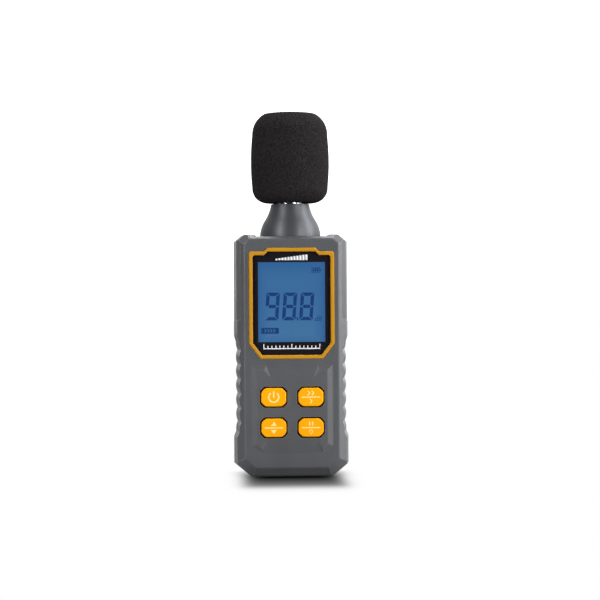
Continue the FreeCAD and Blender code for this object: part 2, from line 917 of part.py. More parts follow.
def amplifier_chips():
    blank = new_body("amplifier_blank")
    outline = rectangle("-amplifier_wide / 2", "amplifier_wide / 2", "0", "amplifier_tall")
    add_slab(blank, "package", FORE, f"{BOARD_BACK} - chip_thick", BOARD_BACK, outline)
    places = [(x, "0", "amplifier_low") for x in ("amplifier_x", "-amplifier_x")]
    return group("amplifier_chips", [(blank, place, UPRIGHT) for place in places])


def filter_capacitors():
    blank = new_body("capacitor_blank")
    can = disc("0", "0", "capacitor_radius")
    add_slab(blank, "can", FORE, f"{BOARD_BACK} - capacitor_tall", BOARD_BACK, can)
    soften("PartDesign::Fillet", blank, "can_edge", "chip_corner / 2", back_face(blank))
    places = [(x, "0", "capacitor_z") for x in ("capacitor_x", "-capacitor_x")]
    return group("filter_capacitors", [(blank, place, UPRIGHT) for place in places])


def quartz_crystal():
    body = new_body("quartz_crystal")
    side, top = "crystal_half", "crystal_radius"
    outline = loop(
        (f"-{side}", f"crystal_z - {top}"),
        (side, f"crystal_z - {top}", f"{top} + 0.001", 1),
        (side, f"crystal_z + {top}"),
        (f"-{side}", f"crystal_z + {top}", f"{top} + 0.001", 1),
    )
    add_slab(body, "can", FORE, f"{BOARD_BACK} - crystal_thick", BOARD_BACK, outline)
    return body


def mic_connector():
    body = new_body("mic_connector")
    outline = rectangle("-plug_half", "plug_half", "plug_low", "plug_low + plug_tall")
    add_slab(body, "shell", FORE, f"{BOARD_BACK} - plug_thick", BOARD_BACK, outline)
    soften("PartDesign::Chamfer", body, "shell_edges", "chip_corner / 2", back_face(body))
    return body


# ---- buttons and switches ----


def button(name, x, z):
    body = new_body(f"{name}_button")
    add_slab(body, "cap", FORE, "flange_fore", "button_fore", button_outline(x, z, "0"))
    doc.recompute()
    corners = [
        f"Edge{index + 1}"
        for index, edge in enumerate(body.Shape.Edges)
        if edge.BoundBox.YLength > size_of("button_fore - flange_fore") - 1e-3
    ]
    soften("PartDesign::Fillet", body, "corners", "button_corner_round", corners)
    soften("PartDesign::Fillet", body, "face_edge", "button_edge_round", front_face(body))
    wide, tall = "(button_wide + flange_extra) / 2", "(button_tall + flange_extra) / 2"
    flange = rectangle(f"{x} - {wide}", f"{x} + {wide}", f"{z} - {tall}", f"{z} + {tall}")
    add_slab(body, "flange", FORE, "flange_fore - flange_thick", "flange_fore", flange)
    stem_end = "plunger_fore + gap"
    add_slab(body, "stem", FORE, stem_end, "flange_fore - flange_thick", disc(x, z, "stem_radius"))
    return body


def plunger(name, x, z):
    rod = doc.addObject("Part::Cylinder", f"{name}_plunger")
    rod.Placement = Placement(Vector(), Rotation(Vector(1, 0, 0), 90))
    bind(rod, "Radius", "plunger_radius")
    bind(rod, "Height", "plunger_fore - plunger_root_fore")
    bind_place(rod, x, "-plunger_root_fore", z)
    return rod


def switch_bodies():
    blank = new_body("switch_blank")
    outline = rectangle("-switch_half", "switch_half", "-switch_half", "switch_half")
    add_slab(blank, "housing", FORE, "board_fore + gap", "switch_fore", outline)
    soften("PartDesign::Chamfer", blank, "housing_edges", "cell_edge", front_face(blank))
    bore = disc("0", "0", "switch_bore_radius")
    cut_slab(blank, "plunger_bore", FORE, "switch_bore_floor", "switch_fore + 1", bore)
    return group("switch_bodies", [(blank, (x, "0", z), UPRIGHT) for x, z in BUTTONS.values()])


# ---- battery ----


def battery_cells():
    """Three cells side by side, the middle one upside down."""
    blank = new_body("cell_blank")
    can_top = "cell_long - cell_edge"
    profile = loop(
        ("0", "0"),
        ("cell_radius - cell_edge", "0"),
        ("cell_radius", "cell_edge"),
        ("cell_radius", can_top),
        ("cell_radius - cell_edge", "cell_long"),
        ("nub_radius", "cell_long"),
        ("nub_radius", "cell_long + nub_long"),
        ("0", "cell_long + nub_long"),
    )
    turned(blank, "can", profile)
    middle_base = "cell_room_high + cell_room_low - cell_low"
    cells = [
        (blank, ("-cell_pitch", "cell_aft", "cell_low"), UPRIGHT),
        (blank, ("0", "cell_aft", middle_base), UPSIDE_DOWN),
        (blank, ("cell_pitch", "cell_aft", "cell_low"), UPRIGHT),
    ]
    return group("battery_cells", cells)


def battery_springs():
    blank = new_body("spring_blank")
    wire = new_sketch(blank, "wire", FORE)
    disc("spring_radius", "0", "wire_radius")(wire)
    coil = blank.newObject("PartDesign::AdditiveHelix", "coil")
    coil.Profile = wire
    coil.ReferenceAxis = (wire, ["V_Axis"])
    coil.Mode = "pitch-height-angle"
    bind(coil, "Pitch", "spring_pitch")
    bind(coil, "Height", "spring_rise")
    low = "cell_room_low + plate_thick + wire_radius + 3 * gap"
    high = "cell_room_high - plate_thick - wire_radius - 3 * gap"
    springs = [
        (blank, ("-cell_pitch", "cell_aft", low), UPRIGHT),
        (blank, ("0", "cell_aft", high), UPSIDE_DOWN),
        (blank, ("cell_pitch", "cell_aft", low), UPRIGHT),
    ]
    return group("battery_springs", springs)


def battery_contacts():
    """Spring plates: one under each end of the chain, and two that each bridge two cells."""
    front, back = "cell_aft - plate_deep / 2", "cell_aft + plate_deep / 2"

    def plate(label, left, right):
        return box(label, left, right, front, back, "0", "plate_thick")

    single = plate("single_plate", "-plate_wide / 2", "plate_wide / 2")
    bridge = plate("bridge_plate", "-plate_wide / 2", "cell_pitch + plate_wide / 2")
    low = "cell_room_low + gap"
    high = "cell_room_high - plate_thick - gap"
    first, middle, last = (f"{x} - plate_wide / 2" for x in ("-cell_pitch", "0", "cell_pitch"))
    plates = [
        (single, (first, front, low), UPRIGHT),
        (bridge, (middle, front, low), UPRIGHT),
        (bridge, (first, front, high), UPRIGHT),
        (single, (last, front, high), UPRIGHT),
    ]
    return group("battery_contacts", plates)


def battery_leads():
    """The chain's two ends, wired through holes in the bay to the board."""
    blank = new_body("lead_blank")
    add_slab(blank, "wire", FORE, "-cell_room_aft - 0.4", BOARD_BACK, disc("0", "0", "lead_radius"))
    ends = [("cell_pitch", "0", "lead_high_z"), ("-cell_pitch", "0", "lead_low_z")]
    return group("battery_leads", [(blank, place, UPRIGHT) for place in ends])


# ---- fasteners and insert ----


def screw_blank(label, radius, head_radius, head_thick, reach):
    """A screw lying along Y, its head towards the back and its seat at the origin."""
    blank = new_body(label)
    add_slab(blank, "head", FORE, f"-({head_thick})", "0", disc("0", "0", head_radius))
    add_slab(blank, "shank", FORE, "0", reach, disc("0", "0", radius))
    half_slot = "slot_wide / 2"
    slots = [
        rectangle(f"-{half_slot}", half_slot, f"-0.7 * {head_radius}", f"0.7 * {head_radius}"),
        rectangle(f"-0.7 * {head_radius}", f"0.7 * {head_radius}", f"-{half_slot}", half_slot),
    ]
    for number, slot in enumerate(slots):
        cut_slab(blank, f"drive_{number}", FORE, f"-({head_thick}) - 1", f"-({head_thick}) + slot_deep", slot)
    return blank


def case_screws():
    blank = screw_blank(
        "case_screw_blank",
        "case_screw_radius",
        "case_screw_head_radius",
        "case_screw_head_thick",
        "case_screw_reach + counterbore_aft - 2 * gap",
    )
    places = [(x, z) for x in ("case_boss_x", "-case_boss_x") for z in ("case_boss_low", "case_boss_high")]
    seat = "counterbore_aft + gap"
    return group("case_screws", [(blank, (x, seat, z), UPRIGHT) for x, z in places])


def board_screws():
    blank = screw_blank(
        "board_screw_blank",
        "board_screw_radius",
        "board_screw_head_radius",
        "board_screw_head_thick",
        "board_screw_reach - board_fore + board_thick",
    )
    seat = f"-({BOARD_BACK})"
    return group("board_screws", [(blank, (x, seat, z), UPRIGHT) for x, z in BOARD_SCREWS])


def tripod_insert():
    body = new_body("tripod_insert")
    add_slab(body, "barrel", FORE, "-case_fore", "-insert_aft", disc("0", "insert_z", "insert_radius"))
    groove = disc("0", "insert_z", "insert_radius - insert_groove_deep")
    ring = (disc("0", "insert_z", "insert_radius + 1"), groove)
    cut_slab(body, "grip_groove", FORE, "-insert_aft - 5.5", "-insert_aft - 3", *ring)
    bore = disc("0", "insert_z", "insert_bore_radius")
    cut_slab(body, "thread_bore", FORE, "-case_fore - 1", "-insert_bore_aft", bore)
    return body


# ---- microphone ----


def mic_neck():
    body = new_body("mic_neck")
    profile = loop(
        ("neck_bore_radius", "spigot_low"),
        ("spigot_flange_radius", "spigot_low"),
        ("spigot_flange_radius", "spigot_flange_high"),
        ("spigot_radius", "spigot_flange_high"),
        ("spigot_radius", "neck_low"),
        ("neck_low_radius", "neck_low"),
        ("neck_rim_radius", "neck_rim_high", "neck_belly", 1),
        ("neck_bend_radius", "neck_bend_z", "neck_waist", -1),
        ("neck_top_radius", "neck_high"),
        ("ring_radius + gap", "neck_high"),
        ("ring_radius + gap", "ring_seat"),
        ("tube_bore_radius", "ring_seat"),
        ("tube_bore_radius", "tube_seat"),
        ("neck_bore_radius", "tube_seat"),
    )
    turned(body, "bell", profile)
    return body


def neck_ring():
    body = new_body("neck_ring")
    turned(body, "ring", rectangle("tube_bore_radius", "ring_radius", "ring_seat + gap", "neck_high"))
    return body


def mic_tube():
    body = new_body("mic_tube")
    turned(body, "wall", rectangle("tube_radius - tube_wall", "tube_radius", "tube_seat + gap", "tube_high"))
    return body


def mic_grid():
    """A cap with radial slots over the capsule."""
    body = new_body("mic_grid")
    profile = loop(
        ("tube_radius - tube_wall", "tube_high + gap"),
        ("tube_radius", "tube_high + gap"),
        ("tube_radius", "grid_high - 0.3"),
        ("tube_radius - 0.3", "grid_high"),
        ("0", "grid_high"),
        ("0", "grid_high - grid_thick"),
        ("tube_radius - tube_wall", "grid_high - grid_thick"),
    )
    turned(body, "cap", profile)
    half = "grid_slot_wide / 2"
    slot = rectangle("grid_slot_inner", "grid_slot_outer", f"-{half}", half)
    first = cut_slab(body, "slot", UP, "grid_high - 1", "grid_high + 1", slot)
    slots = body.newObject("PartDesign::PolarPattern", "slots")
    slots.Originals = [first]
    slots.Axis = (first.Profile[0], ["N_Axis"])
    slots.Angle = 360
    slots.Occurrences = 8
    body.Tip = slots
    return body


def mic_capsule():
    body = new_body("mic_capsule")
    turned(body, "can", rectangle("0", "capsule_radius", "capsule_low", "capsule_high"))
    return body


def mic_holder():
    body = new_body("mic_holder")
    profile = loop(
        ("mic_lead_radius + 0.3", "holder_low"),
        ("holder_radius", "holder_low"),
        ("holder_radius", "capsule_high - 0.6"),
        ("capsule_radius + gap", "capsule_high - 0.6"),
        ("capsule_radius + gap", "capsule_low - gap"),
        ("mic_lead_radius + 0.3", "capsule_low - gap"),
    )
    turned(body, "sleeve", profile)
    return body


def mic_lead():
    """Screened lead from the capsule, down the neck and over the board to its connector."""
    body = new_body("mic_lead")
    rest_y = f"-({BOARD_BACK}) + plug_thick / 2"
    low_z = "plug_low + plug_tall + gap"
    bend_high, bend_low = "spigot_low + 6", "spigot_low - 2"

    def path(sketch):
        corners = [
            ("0", "capsule_low - 2 * gap"),
            ("0", bend_high),
            (rest_y, bend_low),
            (rest_y, low_z),
        ]
        for index in range(3):
            start, end = (Vector(size_of(c[0]), size_of(c[1]), 0) for c in corners[index : index + 2])
            edge = sketch.addGeometry(Part.LineSegment(start, end))
            fix_point(sketch, edge, 1, *corners[index])
            fix_point(sketch, edge, 2, *corners[index + 1])
        return 3

    feature = swept(body, "cable", ("0", "capsule_low - 2 * gap"), "mic_lead_radius", path)
    feature.Transition = "Round corner"
    return body


def windscreen():
    body = new_body("windscreen")
    rise = "(foam_crown - foam_shoulder_z)"
    crown_radius = f"(foam_shoulder_side ^ 2 + {rise} ^ 2) / (2 * {rise})"
    profile = loop(
        ("tube_bore_radius", "foam_low"),
        ("foam_low_radius", "foam_low", "foam_corner_radius", 1),
        ("foam_corner_side", "foam_corner_z", "foam_bulge_radius", 1),
        ("foam_bulge_side", "foam_bulge_z", "foam_shoulder_radius", 1),
        ("foam_shoulder_side", "foam_shoulder_z", crown_radius, 1),
        ("0", "foam_crown"),
        ("0", "foam_bore_high"),
        ("tube_bore_radius", "foam_bore_high"),
    )
    turned(body, "foam", profile)
    return body


# ---- the whole meter ----


def build():
    pieces = [
        front_shell(),
        rear_shell(),
        battery_door(),
        display_bezel(),
        window_lens(),
        lcd_glass(),
        lcd_frame(),
        backlight_panel(),
        zebra_strip(),
        backlight_leds(),
        main_board(),
        microcontroller(),
        amplifier_chips(),
        filter_capacitors(),
        quartz_crystal(),
        mic_connector(),
        switch_bodies(),
        battery_cells(),
        battery_springs(),
        battery_contacts(),
        battery_leads(),
        case_screws(),
        board_screws(),
        tripod_insert(),
        mic_neck(),
        neck_ring(),
        mic_tube(),
        mic_grid(),
        mic_capsule(),
        mic_holder(),
        mic_lead(),
        windscreen(),
    ]
    pieces += [button(name, *place) for name, place in BUTTONS.items()]
    pieces += [plunger(name, *place) for name, place in BUTTONS.items()]
    doc.recompute()
    return pieces


def check(pieces):
    for thing in doc.Objects:
        if "Invalid" in thing.State or "Error" in thing.State:
            raise RuntimeError(f"{thing.Name} did not build: {thing.State}")
    for piece in pieces:
        if piece.Shape.isNull() or not piece.Shape.isValid() or not piece.Shape.Solids:
            raise RuntimeError(f"{piece.Label} has no valid solid")


def write(pieces):
    os.makedirs("parts", exist_ok=True)
    for piece in pieces:
        piece.Shape.exportStep(f"parts/{piece.Label}.step")
        print(f"{piece.Label}: {len(piece.Shape.Solids)} solids, {piece.Shape.Volume:.1f} mm3")


fill_sheet()
built = build()
check(built)
write(built)
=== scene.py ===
import math

import bmesh
import bpy
import numpy as np
from mathutils import Matrix, Vector, noise
from mathutils.bvhtree import BVHTree


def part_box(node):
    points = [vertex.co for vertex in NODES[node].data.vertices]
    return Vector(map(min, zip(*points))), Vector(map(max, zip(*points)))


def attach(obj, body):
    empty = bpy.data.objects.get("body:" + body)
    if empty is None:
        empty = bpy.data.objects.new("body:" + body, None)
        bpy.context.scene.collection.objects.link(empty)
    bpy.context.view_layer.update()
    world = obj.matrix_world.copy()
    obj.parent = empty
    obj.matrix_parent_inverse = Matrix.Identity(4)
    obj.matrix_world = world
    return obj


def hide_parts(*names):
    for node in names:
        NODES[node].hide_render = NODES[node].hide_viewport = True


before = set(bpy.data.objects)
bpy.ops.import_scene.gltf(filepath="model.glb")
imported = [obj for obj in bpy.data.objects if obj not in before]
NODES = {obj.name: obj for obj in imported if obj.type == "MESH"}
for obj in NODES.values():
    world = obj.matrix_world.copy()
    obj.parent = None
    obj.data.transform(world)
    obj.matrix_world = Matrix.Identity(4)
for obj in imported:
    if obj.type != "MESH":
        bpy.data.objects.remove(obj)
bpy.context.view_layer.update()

MM = 0.001


# ---------------------------------------------------------------- materials

def linear(r, g, b):
    """A colour given as 0 to 255 on screen, as the renderer's linear RGBA."""
    def channel(c):
        c = c / 255
        return c / 12.92 if c <= 0.04045 else ((c + 0.055) / 1.055) ** 2.4
    return (channel(r), channel(g), channel(b), 1.0)


def node(tree, kind, settings=None, **inputs):
    """A new shader node. An input may be a value or another node's output."""
    n = tree.nodes.new("ShaderNode" + kind)
    for key, value in (settings or {}).items():
        setattr(n, key, value)
    for key, value in inputs.items():
        plug(tree, n.inputs[key.replace("_", " ")], value)
    return n


def plug(tree, socket, value):
    """Gives a socket a value, or links it to another node's output."""
    if isinstance(value, bpy.types.NodeSocket):
        tree.links.new(value, socket)
    else:
        socket.default_value = value


def maths(tree, operation, *values, clamp=False):
    n = tree.nodes.new("ShaderNodeMath")
    n.operation = operation
    n.use_clamp = clamp
    for socket, value in zip(n.inputs, values):
        plug(tree, socket, value)
    return n.outputs[0]


def remap(tree, value, low, high, to_low, to_high):
    """Value moved from the range low to high onto the range to_low to to_high, and held inside it."""
    n = node(tree, "MapRange", Value=value, From_Min=low, From_Max=high, To_Min=to_low, To_Max=to_high)
    return n.outputs["Result"]


def varied(tree, noise_value, low, high):
    """Noise, most of which lies between 0.3 and 0.7, spread from low to high."""
    return remap(tree, noise_value, 0.3, 0.7, low, high)


def mixed(tree, share, a, b, blend="MIX"):
    """Colour a with a share of colour b mixed in."""
    n = tree.nodes.new("ShaderNodeMix")
    n.data_type = "RGBA"
    n.blend_type = blend
    plug(tree, n.inputs["Factor"], share)
    plug(tree, n.inputs[6], a)
    plug(tree, n.inputs[7], b)
    return n.outputs[2]


def object_place(tree):
    """The point being shaded, in the object's own coordinates."""
    return tree.nodes.new("ShaderNodeTexCoord").outputs["Object"]


def grain(tree, scale, detail=3.0, roughness=0.6, stretch=(1, 1, 1), distortion=0.0):
    """Noise fixed to the object, with scale in repeats per metre."""
    mapping = node(tree, "Mapping", Vector=object_place(tree), Scale=tuple(scale * s for s in stretch))
    return node(tree, "TexNoise", Vector=mapping.outputs[0], Scale=1.0, Detail=detail,
                Roughness=roughness, Distortion=distortion).outputs["Fac"]


def tinted(tree, colour, shade):
    """The colour made lighter or darker by a grey factor."""
    tint = node(tree, "CombineColor", Red=shade, Green=shade, Blue=shade).outputs[0]
    return mixed(tree, 1.0, colour, tint, "MULTIPLY")


def rounded_normal(tree, radius):
    return node(tree, "Bevel", {"samples": 4}, Radius=radius).outputs[0]


def edge_mask(tree, radius):
    """1 on convex and concave edges, 0 on flats, from how far a rounded normal leaves the true one."""
    true = tree.nodes.new("ShaderNodeNewGeometry").outputs["Normal"]
    dot = node(tree, "VectorMath", {"operation": "DOT_PRODUCT"})
    plug(tree, dot.inputs[0], rounded_normal(tree, radius))
    plug(tree, dot.inputs[1], true)
    return remap(tree, dot.outputs["Value"], EDGE_STARTS, EDGE_FULL, 0.0, 1.0)


def falloff(tree, distance, middle, blur):
    """A smooth step from 0 to 1 at the middle distance, wider the larger the blur."""
    power = maths(tree, "DIVIDE", maths(tree, "SUBTRACT", middle, distance), blur)
    return maths(tree, "DIVIDE", 1.0, maths(tree, "ADD", 1.0, maths(tree, "EXPONENT", power)))


def blank(name):
    """A new material and its empty node tree."""
    material = bpy.data.materials.new(name)
    material.use_nodes = True
    material.node_tree.nodes.clear()
    return material, material.node_tree


def output(tree, shader):
    out = tree.nodes.new("ShaderNodeOutputMaterial")
    tree.links.new(shader, out.inputs["Surface"])


def moulded(name, colour, rough, fine, deep, tone=0.06, wear_and_highlight=0.25, soften=0.2, edge=None,
            paler=1.7, crevice=None, shade_from=None, turned=False, **extra):
    """Moulded plastic or rubber: spark-eroded grain, slight tone drift and paler, smoother edges, partly wear
    and partly a painted highlight.

    Fine is the grain's repeats per metre and deep is its depth. Deep, soften, edge and crevice are in
    millimetres. Painted shade darkens gaps narrower than crevice, and everything behind shade_from, a y in
    metres. A turned piece shines in bands along its axis.
    """
    material, tree = blank(name)
    texture = grain(tree, fine, 4.0, 0.7)
    broad = grain(tree, 55.0, 3.0, 0.55)
    drift = varied(tree, broad, 1 - tone, 1 + tone)
    speckle = varied(tree, texture, 1 - tone * 0.8, 1 + tone * 0.8)
    base = tinted(tree, colour, maths(tree, "MULTIPLY", drift, speckle))
    edges = edge_mask(tree, soften * MM)
    patchy = remap(tree, grain(tree, 700.0, 3.0), 0.35, 0.7, 0.45, 1.0)
    # Edges turn pale, partly from wear and partly as a painted highlight along them.
    worn_and_highlighted = maths(tree, "MULTIPLY", edges, maths(tree, "MULTIPLY", patchy, wear_and_highlight))
    pale = tuple(min(1.0, c * paler + 0.03) for c in colour[:3]) + (1.0,)
    base = mixed(tree, worn_and_highlighted, base, pale)
    if crevice:
        # Painted shade: colour goes near black in gaps narrower than crevice, found by ambient occlusion.
        open_sky = node(tree, "AmbientOcclusion", {"samples": 6}, Distance=crevice * MM).outputs["AO"]
        base = mixed(tree, remap(tree, open_sky, 0.25, 0.75, 0.85, 0.0), base, CREVICE_SHADE)
    if shade_from:
        # Painted shade on everything behind shade_from, such as a key's sides inside its opening.
        depth = node(tree, "SeparateXYZ", Vector=object_place(tree)).outputs["Y"]
        recess_shade = remap(tree, depth, shade_from, shade_from + 0.4 * MM, 0.0, 0.92)
        base = mixed(tree, recess_shade, base, KEY_RECESS_SHADE)
    smear = varied(tree, grain(tree, 90.0, 4.0, 0.6, (1, 1, 0.5)), -0.06, 0.06)
    roughness = maths(tree, "ADD", varied(tree, texture, rough - 0.05, rough + 0.05), smear)
    roughness = maths(tree, "SUBTRACT", roughness, maths(tree, "MULTIPLY", worn_and_highlighted, 0.22), clamp=True)
    rounded = rounded_normal(tree, (edge or soften) * MM)
    bump = node(tree, "Bump", Strength=0.6, Distance=deep * MM, Height=texture, Normal=rounded).outputs[0]
    principled = node(tree, "BsdfPrincipled", Base_Color=base, Roughness=roughness, Normal=bump, **extra)
    if turned:
        lay = node(tree, "Tangent", {"direction_type": "RADIAL", "axis": "Z"})
        plug(tree, principled.inputs["Tangent"], lay.outputs[0])
    output(tree, principled.outputs[0])
    return material


def metal(name, colour, rough, stretch=(1, 1, 1), scale=2500.0, depth=0.006):
    """Worked metal: tool marks stretched along one way, faint tarnish and softened edges."""
    material, tree = blank(name)
    marks = grain(tree, scale, 3.0, 0.6, stretch)
    tarnish = remap(tree, grain(tree, 130.0, 4.0, 0.6), 0.35, 0.7, 1.0, 0.84)
    base = tinted(tree, colour, maths(tree, "MULTIPLY", tarnish, varied(tree, marks, 0.94, 1.05)))
    roughness = varied(tree, marks, rough - 0.05, rough + 0.07)
    rounded = rounded_normal(tree, METAL_EDGE)
    bump = node(tree, "Bump", Strength=0.5, Distance=depth * MM, Height=marks, Normal=rounded).outputs[0]
    principled = node(tree, "BsdfPrincipled", Base_Color=base, Metallic=1.0, Roughness=roughness, Normal=bump)
    output(tree, principled.outputs[0])
    return material


def window_clear():
    """Clear acrylic: lets light straight through and mirrors a little, with hairline scratches.

    Light isn't bent on its way in, so a face it leaves by mirrors as little as one it enters by.
    """
    material, tree = blank("window_clear")
    scratches = grain(tree, 900.0, 2.0, 0.5, (1, 1, 0.04))
    rough = remap(tree, scratches, 0.55, 0.75, 0.03, 0.16)
    through = node(tree, "BsdfTransparent", Color=(0.96, 0.97, 0.98, 1)).outputs[0]
    shine = node(tree, "BsdfGlossy", Color=(1, 1, 1, 1), Roughness=rough).outputs[0]
    leaving = tree.nodes.new("ShaderNodeNewGeometry").outputs["Backfacing"]
    index = remap(tree, leaving, 0, 1, ACRYLIC_INDEX, 1 / ACRYLIC_INDEX)
    mix = tree.nodes.new("ShaderNodeMixShader")
    plug(tree, mix.inputs[0], node(tree, "Fresnel", IOR=index).outputs[0])
    plug(tree, mix.inputs[1], through)
    plug(tree, mix.inputs[2], shine)
    output(tree, mix.outputs[0])
    return material


def lcd_lit():
    """The back-lit display field: even blue, a shade deeper towards its rim, with a fine cell grid."""
    material, tree = blank("lcd_lit")
    low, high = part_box("lcd_glass")
    split = node(tree, "SeparateXYZ", Vector=object_place(tree))
    across = maths(tree, "ABSOLUTE", split.outputs["X"])
    up = maths(tree, "ABSOLUTE", maths(tree, "SUBTRACT", split.outputs["Z"], (low.z + high.z) / 2))
    rim = maths(tree, "MAXIMUM", remap(tree, across, 11 * MM, 17.2 * MM, 0, 1),
                remap(tree, up, 14 * MM, 20.4 * MM, 0, 1))
    cells = grain(tree, 1500.0, 2.0, 0.5)
    foot = remap(tree, split.outputs["Z"], low.z + 4.5 * MM, low.z + 28.5 * MM, 1.0, 0.0)
    field = mixed(tree, foot, linear(*LCD_FIELD), linear(*LCD_FOOT))
    field = mixed(tree, rim, field, linear(*LCD_RIM))
    field = mixed(tree, varied(tree, cells, 0.0, 0.07), field, linear(92, 140, 182))
    principled = node(tree, "BsdfPrincipled", Base_Color=(0.01, 0.02, 0.035, 1), Roughness=0.35,
                      Emission_Color=field, Emission_Strength=LCD_GLOW, Specular_IOR_Level=0.1)
    output(tree, principled.outputs[0])
    return material


def lcd_dark():
    """Switched-on crystal segments: a deeper blue that the back light still shows through."""
    material, tree = blank("lcd_dark")
    drift = varied(tree, grain(tree, 400.0, 2.0), 0.0, 0.35)
    tone = mixed(tree, drift, linear(*LCD_SEGMENT), linear(36, 84, 138))
    principled = node(tree, "BsdfPrincipled", Base_Color=(0.004, 0.01, 0.02, 1), Roughness=0.5,
                      Emission_Color=tone, Emission_Strength=LCD_GLOW, Specular_IOR_Level=0.1)
    output(tree, principled.outputs[0])
    return material


def foam_black():
    """Open-cell foam: painted shade, set by the pore depth stored on the mesh, darkens the pits, and the
    strands stay paler.
    """
    material, tree = blank("foam_black")
    pore = tree.nodes.new("ShaderNodeAttribute")
    pore.attribute_name = "pore"
    strand = maths(tree, "SUBTRACT", 1.0, pore.outputs["Fac"], clamp=True)
    fine = grain(tree, 3800.0, 3.0, 0.7)
    # Painted shade: pits are darker than strands, and darker again with the fine grain.
    base = mixed(tree, strand, linear(*FOAM_PIT_SHADE), linear(*FOAM_STRAND))
    base = mixed(tree, remap(tree, fine, 0.35, 0.7, 0.0, 0.5), base, linear(*FOAM_PIT_SHADE))
    bump = node(tree, "Bump", Strength=0.8, Distance=0.12 * MM, Height=fine)
    principled = node(tree, "BsdfPrincipled", Base_Color=base, Roughness=0.95, Normal=bump.outputs[0])
    plug(tree, principled.inputs["Specular IOR Level"], 0.05)
    output(tree, principled.outputs[0])
    return material


def board_green():
    """Solder mask over fine copper tracks, with tinned via dots."""
    material, tree = blank("board_green")
    place = object_place(tree)
    tracks = node(tree, "TexVoronoi", {"feature": "DISTANCE_TO_EDGE"}, Vector=place, Scale=420.0)
    vias = node(tree, "TexVoronoi", {"feature": "F1"}, Vector=place, Scale=260.0)
    track = remap(tree, tracks.outputs["Distance"], 0.03, 0.06, 1.0, 0.0)
    via = remap(tree, vias.outputs["Distance"], 0.1, 0.13, 1.0, 0.0)
    base = mixed(tree, maths(tree, "MULTIPLY", track, 0.6), linear(22, 84, 52), linear(60, 132, 80))
    base = mixed(tree, via, base, linear(190, 190, 182))
    raised = maths(tree, "MAXIMUM", track, via)
    bump = node(tree, "Bump", Strength=0.5, Distance=0.03 * MM, Height=raised).outputs[0]
    shiny = maths(tree, "MULTIPLY", via, 0.9)
    roughness = varied(tree, grain(tree, 300.0), 0.28, 0.42)
    principled = node(tree, "BsdfPrincipled", Base_Color=base, Metallic=shiny, Roughness=roughness,
                      Normal=bump)
    output(tree, principled.outputs[0])
    return material


def banded_wrap():
    """Shrink-wrapped cells: dark jacket with one warm band, no marks."""
    material, tree = blank("banded_wrap")
    height = node(tree, "SeparateXYZ", Vector=object_place(tree)).outputs["Z"]
    low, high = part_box("battery_cells")
    band = maths(tree, "GREATER_THAN", height, low.z + (high.z - low.z) * 0.68)
    base = mixed(tree, band, linear(38, 40, 46), linear(176, 118, 62))
    wrinkle = grain(tree, 500.0, 3.0, 0.5, (1, 1, 0.2))
    bump = node(tree, "Bump", Strength=0.4, Distance=0.05 * MM, Height=wrinkle)
    principled = node(tree, "BsdfPrincipled", Base_Color=base, Normal=bump.outputs[0],
                      Roughness=varied(tree, wrinkle, 0.22, 0.36))
    output(tree, principled.outputs[0])
    return material


def striped_rubber():
    """The display connector: hair-fine black and grey layers across its width."""
    material, tree = blank("striped_rubber")
    layers = node(tree, "TexWave", {"bands_direction": "X"}, Vector=object_place(tree), Scale=650.0)
    wave = layers.outputs["Fac"]
    base = mixed(tree, wave, linear(30, 30, 32), linear(176, 170, 164))
    bump = node(tree, "Bump", Strength=0.4, Distance=0.03 * MM, Height=wave)
    principled = node(tree, "BsdfPrincipled", Base_Color=base, Roughness=0.6, Normal=bump.outputs[0])
    output(tree, principled.outputs[0])
    return material


EDGE_STARTS, EDGE_FULL = 0.994, 0.95
METAL_EDGE = 0.12 * MM
# Near-black painted shade for narrow gaps.
CREVICE_SHADE = linear(8, 8, 9)
# Painted shade for the parts of a key inside its opening.
KEY_RECESS_SHADE = linear(20, 12, 4)
ACRYLIC_INDEX = 1.49
LCD_FIELD = (56, 107, 156)
LCD_RIM = (46, 97, 150)
LCD_FOOT = (67, 116, 160)
LCD_SEGMENT = (12, 50, 114)
LCD_GLOW = 1.0
# Painted shade deep in the foam's pits.
FOAM_PIT_SHADE = (12, 11, 12)
FOAM_STRAND = (53, 50, 51)
TURNED = (0.01, 0.01, 1.0)

CASE_GREY = linear(80, 81, 84)
AMBER = linear(190, 135, 24)
AMBER_KEY = linear(255, 168, 2)

